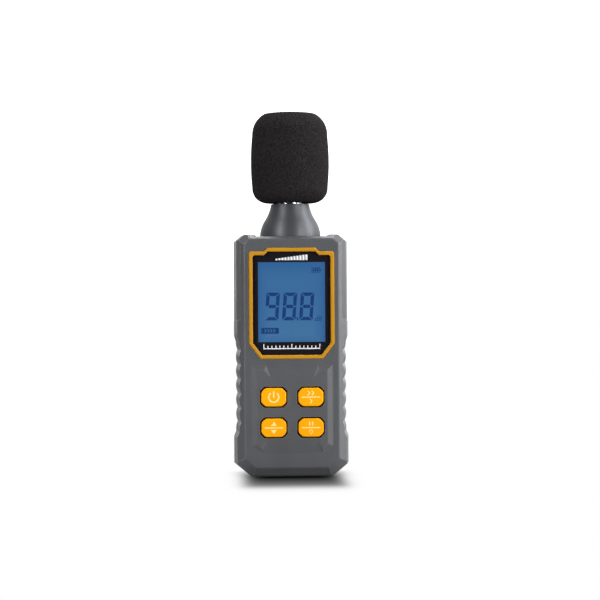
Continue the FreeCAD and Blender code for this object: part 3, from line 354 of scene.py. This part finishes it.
materials = {
    # The case's pale edges are partly wear and partly a painted highlight.
    "case_plastic": moulded("case_grey", CASE_GREY, rough=0.42, fine=2600.0, deep=0.03, wear_and_highlight=0.7,
                            soften=0.7, paler=2.8, crevice=1.0),
    "accent_plastic": moulded("amber_satin", AMBER, rough=0.5, fine=3200.0, deep=0.008, tone=0.03,
                              wear_and_highlight=0.1, soften=0.15, Specular_IOR_Level=0.1),
    "window_plastic": window_clear(),
    "lcd_glass": lcd_lit(),
    "light_guide": moulded("light_guide", linear(226, 232, 236), rough=0.25, fine=1800.0, deep=0.01,
                           tone=0.03),
    "white_plastic": moulded("white_plastic", linear(214, 214, 208), rough=0.45, fine=2400.0, deep=0.01,
                             tone=0.04),
    "zebra_rubber": striped_rubber(),
    "board_laminate": board_green(),
    "chip_epoxy": moulded("chip_epoxy", linear(38, 38, 40), rough=0.6, fine=3000.0, deep=0.02, wear_and_highlight=0.15,
                          soften=0.1),
    "can_aluminium": metal("can_aluminium", linear(200, 200, 204), 0.3, TURNED),
    "switch_plastic": moulded("switch_plastic", linear(44, 44, 48), rough=0.5, fine=2600.0, deep=0.01,
                              soften=0.1),
    "plunger_plastic": moulded("plunger_plastic", linear(176, 60, 44), rough=0.4, fine=2600.0, deep=0.01,
                               soften=0.1),
    "cell_wrap": banded_wrap(),
    "spring_steel": metal("spring_steel", linear(196, 196, 192), 0.3),
    "lead_insulation": moulded("lead_insulation", linear(168, 34, 28), rough=0.42, fine=1500.0, deep=0.01,
                               soften=0.05),
    "screw_steel": metal("screw_steel", linear(150, 150, 150), 0.34, (1, 1, 1), 1800.0),
    "insert_brass": metal("insert_brass", linear(206, 168, 92), 0.28, (1, 0.02, 1)),
    "neck_satin": moulded("neck_satin", linear(102, 103, 107), rough=0.56, fine=3000.0, deep=0.01,
                          tone=0.03, wear_and_highlight=0.1, edge=0.4, turned=True, Metallic=0.72, Anisotropic=0.7,
                          Anisotropic_Rotation=0.25),
    "black_rubber": moulded("black_rubber", linear(30, 30, 31), rough=0.7, fine=2000.0, deep=0.03,
                            wear_and_highlight=0.1, soften=0.15),
    "tube_chrome": metal("tube_chrome", linear(178, 178, 182), 0.22, TURNED, 3000.0, 0.002),
    "grid_steel": metal("grid_steel", linear(176, 176, 178), 0.3),
    "foam": foam_black(),
}
# The keys get painted shade behind the front shell's front face.
key_amber = moulded("amber_key", AMBER_KEY, rough=0.45, fine=3200.0, deep=0.006, tone=0.03, wear_and_highlight=0.3,
                    soften=0.35, shade_from=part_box("front_shell")[0].y, Specular_IOR_Level=0.1)
printed_black = moulded("printed_black", linear(29, 25, 31), rough=0.8, fine=2600.0, deep=0.004, tone=0.1,
                        wear_and_highlight=0.0, soften=0.05, Specular_IOR_Level=0.03)
printed_white = moulded("printed_white", linear(253, 253, 254), rough=0.55, fine=3000.0, deep=0.004,
                        tone=0.02, wear_and_highlight=0.0, soften=0.05)
printed_cream = moulded("printed_cream", linear(255, 222, 130), rough=0.5, fine=3000.0, deep=0.004,
                        tone=0.03, wear_and_highlight=0.0, soften=0.05)
segment_blue = lcd_dark()

BUTTONS = ("power", "speed", "peak", "hold")
key_nodes = {f"{name}_button" for name in BUTTONS}
for name, piece in NODES.items():
    slot = piece.material_slots[0]
    slot.material = key_amber if name in key_nodes else materials[slot.material.name]


# ---------------------------------------------------------------- flat printed shapes

INK = 0.03 * MM


def strip(points, width):
    """A closed outline, width wide, along a line of (x, z) points."""
    left, right = [], []
    for i, (x, z) in enumerate(points):
        before = points[max(i - 1, 0)]
        after = points[min(i + 1, len(points) - 1)]
        run = Vector((after[0] - before[0], after[1] - before[1])).normalized()
        turn = 1.0
        if 0 < i < len(points) - 1:
            step = Vector((x - before[0], z - before[1])).normalized()
            turn = 1 / max(0.4, step.dot(run))
        side = Vector((-run.y, run.x)) * width / 2 * turn
        left.append((x + side.x, z + side.y))
        right.append((x - side.x, z - side.y))
    return left + right[::-1]


def arc(x, z, radius, start, end, steps=40):
    """Points round a circle between two angles in degrees."""
    angles = [math.radians(start + (end - start) * i / steps) for i in range(steps + 1)]
    return [(x + radius * math.cos(a), z + radius * math.sin(a)) for a in angles]


def rectangle(x0, x1, z0, z1):
    return [(x0, z0), (x1, z0), (x1, z1), (x0, z1)]


def shifted(outlines, x, z):
    return [[(px + x, pz + z) for px, pz in outline] for outline in outlines]


def centred(outlines, name):
    """Outlines drawn about the middle of a CAD node, moved to where the node stands."""
    low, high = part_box(name)
    return shifted(outlines, (low.x + high.x) / 2 / MM, (low.z + high.z) / 2 / MM)


def placed(name, shape, material, body):
    """A new piece from a shape, riding on a body and counted with one of its material slots."""
    mesh = bpy.data.meshes.new(name)
    shape.to_mesh(mesh)
    shape.free()
    mesh.materials.append(material)
    piece = bpy.data.objects.new(name, mesh)
    bpy.context.scene.collection.objects.link(piece)
    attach(piece, body)
    return piece


def printed(name, outlines, front, material, body):
    """Closed outlines in millimetres, each made a film of ink whose front faces the reader."""
    shape = bmesh.new()
    for outline in outlines:
        fore = [shape.verts.new((x * MM, front, z * MM)) for x, z in outline]
        aft = [shape.verts.new((x * MM, front + INK, z * MM)) for x, z in outline]
        shape.faces.new(fore)
        shape.faces.new(aft[::-1])
        for i in range(len(outline)):
            j = (i + 1) % len(outline)
            shape.faces.new((fore[j], fore[i], aft[i], aft[j]))
    bmesh.ops.recalc_face_normals(shape, faces=shape.faces)
    bmesh.ops.triangulate(shape, faces=[f for f in shape.faces if len(f.verts) > 4])
    placed(name, shape, material, body)


# ---------------------------------------------------------------- display contents

DIGIT_WIDE = 6.75
DIGIT_TALL = 13.9
STROKE = 1.7
CUT = 0.28
SLANT = math.tan(math.radians(4.0))


def segments(lit):
    """One digit's lit bars, a top, b and c right, d bottom, e and f left, g middle."""
    w, h, t, c = DIGIT_WIDE, DIGIT_TALL, STROKE, CUT
    m = h / 2
    bars = {
        "a": [(c, h), (w - c, h), (w - t - c, h - t), (t + c, h - t)],
        "b": [(w, h - c), (w, m + c), (w - t * 0.55, m + c), (w - t, m + t * 0.5 + c), (w - t, h - t - c)],
        "c": [(w, m - c), (w, c), (w - t, t + c), (w - t, m - t * 0.5 - c), (w - t * 0.55, m - c)],
        "d": [(t + c, t), (w - t - c, t), (w - c, 0), (c, 0)],
        "e": [(0, m - c), (t * 0.55, m - c), (t, m - t * 0.5 - c), (t, t + c), (0, c)],
        "f": [(0, h - c), (t, h - t - c), (t, m + t * 0.5 + c), (t * 0.55, m + c), (0, m + c)],
        "g": [(t * 0.6 + c, m), (t + c, m + t * 0.5), (w - t - c, m + t * 0.5), (w - t * 0.6 - c, m),
              (w - t - c, m - t * 0.5), (t + c, m - t * 0.5)],
    }
    return [[(x + z * SLANT, z) for x, z in bars[bar]] for bar in lit]


lcd_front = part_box("lcd_glass")[0].y


def on_display(name, outlines, material, layer=1):
    """Marks on the front of the display glass, each layer a little nearer the reader."""
    front = lcd_front - INK * 1.5 * layer
    printed(name, centred(outlines, "lcd_glass"), front, material, "meter")


DIGIT_FOOT = -6.9
digits = shifted(segments("abcdfg"), -13.5, DIGIT_FOOT)
digits += shifted(segments("abcdefg"), -4.85, DIGIT_FOOT)
digits += shifted(segments("abcdefg"), 3.75, DIGIT_FOOT)
digits.append([(2.2, -5.35), (3.0, -5.35), (3.6, -7.35), (2.8, -6.75)])
on_display("lcd_digits", digits, segment_blue)

unit = [
    strip(arc(12.35, -6.55, 0.62, 0, 360, 24)[:-1] + [(12.97, -6.55)], 0.3),
    strip([(13.0, -7.25), (13.0, -4.8)], 0.32),
    strip([(13.85, -7.3), (13.85, -4.85)], 0.32),
    strip([(13.85, -4.95), (14.7, -4.95), (15.0, -5.45), (14.7, -6.0), (13.85, -6.0)], 0.28),
    strip([(14.7, -6.0), (15.15, -6.6), (14.7, -7.2), (13.85, -7.2)], 0.28),
]
on_display("lcd_unit", unit, segment_blue)

battery = [
    strip([(10.3, 17.15), (14.3, 17.15), (14.3, 19.25), (10.3, 19.25), (10.3, 17.05)], 0.3),
    rectangle(14.45, 14.85, 17.75, 18.65),
]
battery += [rectangle(10.75 + 1.1 * i, 11.5 + 1.1 * i, 17.55, 18.85) for i in range(3)]
on_display("lcd_battery", battery, segment_blue)

on_display("lcd_flag", [rectangle(-15.3, -6.5, -13.6, -10.6)], segment_blue)
chevrons = [strip([(x, -12.9), (x + 0.8, -12.1), (x, -11.3)], 0.42) for x in (-13.6, -12.1, -10.6, -9.1)]
flag_glow = lcd_lit()
flag_glow.name = "lcd_flag_glow"
on_display("lcd_flag_marks", chevrons, flag_glow, 2)


# ---------------------------------------------------------------- printed surround behind the window

window_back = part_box("window_lens")[1].y


def lens_outline(inset):
    """The window's own back outline from its mesh, in millimetres, moved in by inset."""
    mesh = NODES["window_lens"].data
    places = [v.co for v in mesh.vertices]
    flat = [p for p in mesh.polygons if all(abs(places[v].y - window_back) < 1e-6 for v in p.vertices)]
    corners = [places[v] for p in flat for v in p.vertices]
    points = sorted({(round(c.x / MM, 4), round(c.z / MM, 4)) for c in corners})
    middle = sum(z for _, z in points) / len(points)
    points.sort(key=lambda q: math.atan2(q[1] - middle, q[0]))
    return [(x * (1 - inset / 18), (z - middle) * (1 - inset / 22) + middle) for x, z in points]


def framed(name, outer, inner, front, material, body):
    """A film of ink with an opening."""
    shape = bmesh.new()
    edges = []
    for outline in (outer, inner):
        ring = [shape.verts.new((x * MM, front, z * MM)) for x, z in outline]
        edges += [shape.edges.new((ring[i], ring[(i + 1) % len(ring)])) for i in range(len(ring))]
    faces = [f for f in bmesh.ops.triangle_fill(shape, use_beauty=True, edges=edges)["geom"]
             if isinstance(f, bmesh.types.BMFace)]
    extruded = bmesh.ops.extrude_face_region(shape, geom=faces)["geom"]
    back = [v for v in extruded if isinstance(v, bmesh.types.BMVert)]
    bmesh.ops.translate(shape, vec=(0, INK, 0), verts=back)
    bmesh.ops.recalc_face_normals(shape, faces=shape.faces)
    placed(name, shape, material, body)


shown = centred([rectangle(-16.8, 16.8, -19.4, 20.6)], "window_lens")[0]
framed("window_surround", lens_outline(0.1), shown, window_back - 2 * INK, printed_black, "meter")

bars = [rectangle(-8.0 + 1.5 * i, -6.9 + 1.5 * i, 21.6, 22.35 + 0.2 * i) for i in range(11)]
SCALE_HALF, TICK_HALF = 14.0, 0.24
scale_marks = [rectangle(-SCALE_HALF - TICK_HALF, SCALE_HALF + TICK_HALF, -22.95, -22.45)]
for i in range(15):
    x = -SCALE_HALF + 2 * i
    top = -20.4 if i % 7 == 0 else -21.2
    scale_marks.append(rectangle(x - TICK_HALF, x + TICK_HALF, -22.5, top))
window_marks = centred(bars + scale_marks, "window_lens")
printed("window_marks", window_marks, window_back - 3.5 * INK, printed_white, "meter")


# ---------------------------------------------------------------- button pictograms

def triangle(x, z, half, tall):
    return [(x - half, z), (x + half, z), (x, z + tall)]


divider = strip([(-4.7, 0), (4.7, 0)], 0.6)
pictograms = {
    "power": [strip(arc(0, 0.1, 2.5, 127, 415), 0.75), strip([(0, -0.2), (0, 3.1)], 0.75)],
    "speed": [divider, strip([(-1.6, 0.9), (-0.6, 2.0), (-1.6, 3.1)], 0.55),
              strip([(0.4, 0.9), (1.4, 2.0), (0.4, 3.1)], 0.55),
              strip([(-0.5, -3.1), (0.5, -2.0), (-0.5, -0.9)], 0.55)],
    "peak": [divider, triangle(0, 1.0, 1.5, 2.0), triangle(0, -1.0, 1.5, -2.0)],
    "hold": [divider, rectangle(-1.1, -0.4, 1.0, 3.0), rectangle(0.4, 1.1, 1.0, 3.0),
             strip(arc(0, -1.9, 0.75, -60, 240, 24), 0.35), rectangle(-0.4, 0.4, -3.2, -2.75)],
}
for name in BUTTONS:
    legend = centred(pictograms[name], f"{name}_button")
    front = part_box(f"{name}_button")[0].y - INK * 0.8
    printed(f"{name}_legend", legend, front, printed_cream, f"{name}_key")


# ---------------------------------------------------------------- foam windscreen

BORE_PORES = 0.04


def half_section(step):
    """Radii and heights down the foam's half section at even steps, crown first, bore last.

    They are read from the CAD solid. The third value is how far along it the outside ends.
    """
    foam = NODES["windscreen"].data
    low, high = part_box("windscreen")
    places = [v.co for v in foam.vertices]
    tree = BVHTree.FromPolygons(places, [p.vertices for p in foam.polygons])
    bore = min(math.hypot(v.x, v.y) for v in places if v.z < low.z + 0.1 * MM)
    ceiling = max(v.z for v in places if abs(math.hypot(v.x, v.y) - bore) < 0.05 * MM)
    middle = Vector((0, 0, (low.z + high.z) / 2))
    steepest = math.pi - math.atan2(bore * 1.02, middle.z - low.z)
    points = []
    for i in range(721):
        angle = steepest * i / 720 + 1e-5
        way = Vector((math.sin(angle), 0, math.cos(angle)))
        hit = tree.ray_cast(middle + way * 0.06, -way)[0]
        points.append((math.hypot(hit.x, hit.y), hit.z))
    points[0] = (0.0, high.z)
    points += [(bore, low.z), (bore, ceiling), (0.0, ceiling)]
    lengths = [0.0]
    for a, b in zip(points, points[1:]):
        lengths.append(lengths[-1] + math.dist(a, b))
    count = int(lengths[-1] / step)
    at = np.linspace(0, lengths[-1], count + 1)
    radii = np.interp(at, lengths, [p[0] for p in points])
    heights = np.interp(at, lengths, [p[1] for p in points])
    return radii, heights, lengths[-3]


def pores(place):
    """Depth of the pits and lumps at a place on the foam, and how deep in a pit it lies from 0 to 1."""
    coarse = noise.voronoi(place / (0.85 * MM))[0]
    tight = noise.voronoi(place / (0.42 * MM) + Vector((7.3, 1.9, 4.1)))[0]
    pit = min(1.0, max(0.0, (coarse[1] - coarse[0]) * 2.2))
    small = min(1.0, max(0.0, (tight[1] - tight[0]) * 2.0))
    lump = noise.noise(place / (7 * MM)) * 0.5 + 0.5
    return (0.24 * pit + 0.1 * small + 0.12 * lump - 0.2) * MM, 0.65 * pit + 0.35 * small


def foam_windscreen():
    """The foam's skin: rings of points pushed in by its pores, smooth inside the bore."""
    step = 0.22 * MM
    radii, heights, outside = half_section(step)
    around = int(2 * math.pi * radii.max() / step)
    shape = bmesh.new()
    pore_layer = shape.verts.layers.float.new("pore")
    tangent_r, tangent_z = np.gradient(radii), np.gradient(heights)
    size = np.hypot(tangent_r, tangent_z)
    normal_r, normal_z = -tangent_z / size, tangent_r / size
    along = np.arange(len(radii)) * step
    rows = []
    for i in range(len(radii)):
        row = []
        if radii[i] < 1e-7:
            rows.append([shape.verts.new((0, 0, heights[i]))])
            continue
        strength = BORE_PORES if along[i] > outside else 1.0
        for k in range(around):
            angle = 2 * math.pi * k / around
            cos, sin = math.cos(angle), math.sin(angle)
            place = Vector((radii[i] * cos, radii[i] * sin, heights[i]))
            outward = Vector((normal_r[i] * cos, normal_r[i] * sin, normal_z[i]))
            depth, pore = pores(place)
            vert = shape.verts.new(place - outward * depth * strength)
            vert[pore_layer] = pore
            row.append(vert)
        rows.append(row)
    for upper, lower in zip(rows, rows[1:]):
        for k in range(around):
            j = (k + 1) % around
            if len(upper) == 1:
                shape.faces.new((upper[0], lower[k], lower[j]))
            elif len(lower) == 1:
                shape.faces.new((upper[k], lower[0], upper[j]))
            else:
                shape.faces.new((upper[k], lower[k], lower[j], upper[j]))
    bmesh.ops.recalc_face_normals(shape, faces=shape.faces)
    for face in shape.faces:
        face.smooth = True
    piece = placed("foam_windscreen", shape, materials["foam"], "screen")
    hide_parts("windscreen")


foam_windscreen()


# ---------------------------------------------------------------- floor, light and camera

def floor_shade(tree, place):
    """How bright the floor is, 0 to 1: a soft shadow under the case and a little way in front of it."""
    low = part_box("front_shell")[0]
    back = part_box("rear_shell")[1].y
    ahead = maths(tree, "SUBTRACT", low.y, place.outputs["Y"])
    past = maths(tree, "SUBTRACT", place.outputs["Y"], SHADOW_BACK)
    run = maths(tree, "MAXIMUM", ahead, maths(tree, "MULTIPLY", past, SHADOW_BACK_FALL))
    edge = maths(tree, "MULTIPLY", falloff(tree, run, SHADOW_LONG, SHADOW_LONG_BLUR), 1 - SHADOW_PALING)
    along = maths(tree, "ADD", edge, remap(tree, run, 0.0, SHADOW_PALE_BY, 0.0, SHADOW_PALING))
    beside = maths(tree, "ABSOLUTE", maths(tree, "SUBTRACT", place.outputs["X"], SHADOW_SIDE))
    across = falloff(tree, beside, SHADOW_HALF, SHADOW_HALF_BLUR)
    dark = maths(tree, "MULTIPLY", maths(tree, "SUBTRACT", 1.0, along), maths(tree, "SUBTRACT", 1.0, across))
    contact = node(tree, "AmbientOcclusion", {"samples": 8}, Distance=CONTACT_REACH).outputs["AO"]
    deepest = remap(tree, place.outputs["Y"], 0.0, back, CONTACT_FRONT, CONTACT_BACK)
    touched = remap(tree, contact, 0.1, 0.75, deepest, 1.0)
    return maths(tree, "MULTIPLY", maths(tree, "SUBTRACT", 1.0, dark), touched)


def floor_pale():
    """A white floor that throws less light on the meter than the camera sees, and none from far off."""
    material, tree = blank("floor_pale")
    place = object_place(tree)
    lit = floor_shade(tree, node(tree, "SeparateXYZ", Vector=place))
    seen = maths(tree, "MULTIPLY", lit, varied(tree, grain(tree, 900.0), 0.99, 1.01))
    away = node(tree, "VectorMath", {"operation": "LENGTH"})
    plug(tree, away.inputs[0], place)
    near = remap(tree, away.outputs["Value"], *FLOOR_FADES, FLOOR_BOUNCE, 0.02)
    thrown = maths(tree, "MULTIPLY", maths(tree, "MAXIMUM", lit, FLOOR_LEAST), near)
    camera_ray = tree.nodes.new("ShaderNodeLightPath").outputs["Is Camera Ray"]
    strength = maths(tree, "ADD", maths(tree, "MULTIPLY", seen, camera_ray),
                     maths(tree, "MULTIPLY", thrown, maths(tree, "SUBTRACT", 1.0, camera_ray)))
    output(tree, node(tree, "Emission", Color=(1, 1, 1, 1), Strength=strength).outputs[0])
    return material


def floor():
    """A disc just below the meter's foot."""
    mesh = bpy.data.meshes.new("floor")
    shape = bmesh.new()
    bmesh.ops.create_circle(shape, cap_ends=True, segments=96, radius=6.0)
    shape.to_mesh(mesh)
    shape.free()
    mesh.materials.append(floor_pale())
    piece = bpy.data.objects.new("floor", mesh)
    piece.location.z = -0.05 * MM
    bpy.context.scene.collection.objects.link(piece)


def surroundings():
    """White to the camera; to the object, bright behind and on the right and dark in front."""
    world = bpy.data.worlds.new("studio")
    world.use_nodes = True
    tree = world.node_tree
    tree.nodes.clear()
    way = tree.nodes.new("ShaderNodeTexCoord").outputs["Generated"]
    split = node(tree, "SeparateXYZ", Vector=way)
    lit = remap(tree, split.outputs["Y"], -0.15, 0.45, WORLD_FRONT, WORLD_BACK)
    lit = maths(tree, "MULTIPLY", lit, remap(tree, split.outputs["X"], -0.75, -0.05, WORLD_LEFT, 1.0))
    camera = tree.nodes.new("ShaderNodeLightPath").outputs["Is Camera Ray"]
    strength = maths(tree, "MAXIMUM", lit, camera)
    back = node(tree, "Background", Color=(1, 1, 1, 1), Strength=strength).outputs[0]
    out = tree.nodes.new("ShaderNodeOutputWorld")
    tree.links.new(back, out.inputs["Surface"])
    bpy.context.scene.world = world


def softbox(name, place, target, wide, tall, power):
    """A rectangular lamp at a place, turned to a target, in metres and watts."""
    light = bpy.data.lights.new(name, "AREA")
    light.shape = "RECTANGLE"
    light.size, light.size_y, light.energy = wide, tall, power
    piece = bpy.data.objects.new(name, light)
    piece.location = place
    piece.rotation_euler = (Vector(target) - Vector(place)).to_track_quat("-Z", "Y").to_euler()
    bpy.context.scene.collection.objects.link(piece)


SHADOW_LONG, SHADOW_LONG_BLUR = 42.5 * MM, 5.5 * MM
SHADOW_PALING, SHADOW_PALE_BY = 0.1, 25 * MM
SHADOW_HALF, SHADOW_HALF_BLUR = 24.9 * MM, 1.9 * MM
SHADOW_SIDE = 0.2 * MM
SHADOW_BACK, SHADOW_BACK_FALL = -15 * MM, 2.1
CONTACT_REACH = 12 * MM
CONTACT_FRONT, CONTACT_BACK = 0.82, 0.4
FLOOR_BOUNCE, FLOOR_LEAST = 0.6, 0.3
FLOOR_FADES = 0.35, 0.8
WORLD_FRONT, WORLD_BACK, WORLD_LEFT = 0.02, 1.8, 0.3
KEY_RIGHT = 8.4
FACE_LIGHT = 7.9
EDGE_LEFT = 4.8
TOP_LIGHT = 5.0

floor()
surroundings()
softbox("key_right", (0.75, -0.1, 0.3), (0, 0, 0.12), wide=0.3, tall=0.9, power=KEY_RIGHT)
softbox("face_light", (0.8, -0.9, 0.24), (0, 0, 0.09), wide=0.4, tall=0.4, power=FACE_LIGHT)
softbox("edge_left", (-0.52, -0.55, 0.3), (0, 0, 0.12), wide=0.1, tall=0.9, power=EDGE_LEFT)
softbox("top", (0.0, 0.0, 0.95), (0, 0, 0.1), wide=0.2, tall=0.2, power=TOP_LIGHT)

CAMERA_SHIFT = 4.8 * MM
CAMERA_AWAY = 817 * MM
CAMERA_HIGH = 88.5 * MM
CAMERA_TURN = math.radians(-2.2)
CAMERA_ROLL = math.radians(-0.32)
camera_data = bpy.data.cameras.new("camera")
camera_data.lens = 96.0
camera_data.sensor_width = 36.0
camera = bpy.data.objects.new("camera", camera_data)
camera.matrix_world = (Matrix.Rotation(CAMERA_TURN, 4, "Z")
                       @ Matrix.Translation((CAMERA_SHIFT, -CAMERA_AWAY, CAMERA_HIGH))
                       @ Matrix.Rotation(math.radians(90), 4, "X") @ Matrix.Rotation(CAMERA_ROLL, 4, "Z"))
bpy.context.scene.collection.objects.link(camera)
bpy.context.scene.camera = camera
bpy.context.scene.view_settings.view_transform = "Standard"
